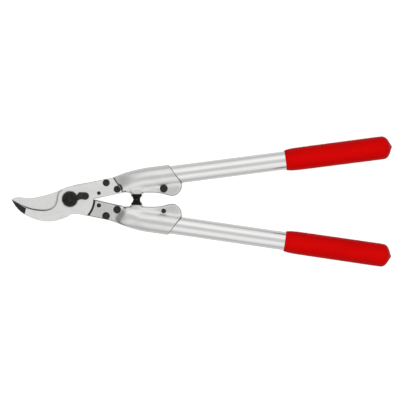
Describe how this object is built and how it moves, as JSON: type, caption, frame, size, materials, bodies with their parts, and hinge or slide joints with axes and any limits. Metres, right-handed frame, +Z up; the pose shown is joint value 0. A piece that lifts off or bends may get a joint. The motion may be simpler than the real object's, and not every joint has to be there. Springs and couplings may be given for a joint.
{
  "type": "pruning shears",
  "caption": "Long-handled bypass pruning shears with a hooked counter blade, a toothed pivot nut, forged tube sockets, rubber stops and closed vinyl grips.",
  "frame": {"origin": "under the middle of the closed shears, on the flat surface that they lie on with the pivot nut facing up", "axes": "+X from the jaws to the grips along the centre line between the handles, +Y towards the hook-side handle, +Z up, along the pivot bolt towards its nut"},
  "size_m": [0.5, 0.1716, 0.0306],
  "materials": {
    "jaw_steel": "ground flat, satin chromed",
    "forged_aluminium": "vibratory-polished forging, satin",
    "tube_aluminium": "drawn and clear anodised, satin",
    "grip_vinyl": "dip-moulded vinyl, soft gloss",
    "bumper_rubber": "moulded, matt",
    "black_steel": "black oxide, oiled",
    "bush_bronze": "sintered bronze, plain"
  },
  "bodies": {
    "hook_side": {"hook_blade": "jaw_steel", "pivot_bolt": "black_steel", "pivot_washer": "bush_bronze", "pivot_nut": "black_steel", "locking_segment": "black_steel", "locking_screw": "black_steel", "hook_handle_forging": "forged_aluminium", "hook_handle_tube": "tube_aluminium", "hook_handle_grip": "grip_vinyl", "hook_handle_bumper": "bumper_rubber", "hook_handle_plate_screws": "black_steel", "hook_handle_plate_nuts": "black_steel", "hook_handle_locating_dowel": "black_steel", "hook_handle_clamp_screw": "black_steel"},
    "blade_side": {"cutting_blade": "jaw_steel", "pivot_bush": "bush_bronze", "blade_handle_forging": "forged_aluminium", "blade_handle_tube": "tube_aluminium", "blade_handle_grip": "grip_vinyl", "blade_handle_bumper": "bumper_rubber", "blade_handle_plate_screws": "black_steel", "blade_handle_plate_nuts": "black_steel", "blade_handle_locating_dowel": "black_steel", "blade_handle_clamp_screw": "black_steel"}
  },
  "joints": [
    {"name": "blade_pivot", "type": "hinge", "parent": "hook_side", "child": "blade_side", "pos_m": [-0.1725, 0, 0.0153], "axis": [0, 0, -1], "range_deg": [0, 70]}
  ]
}
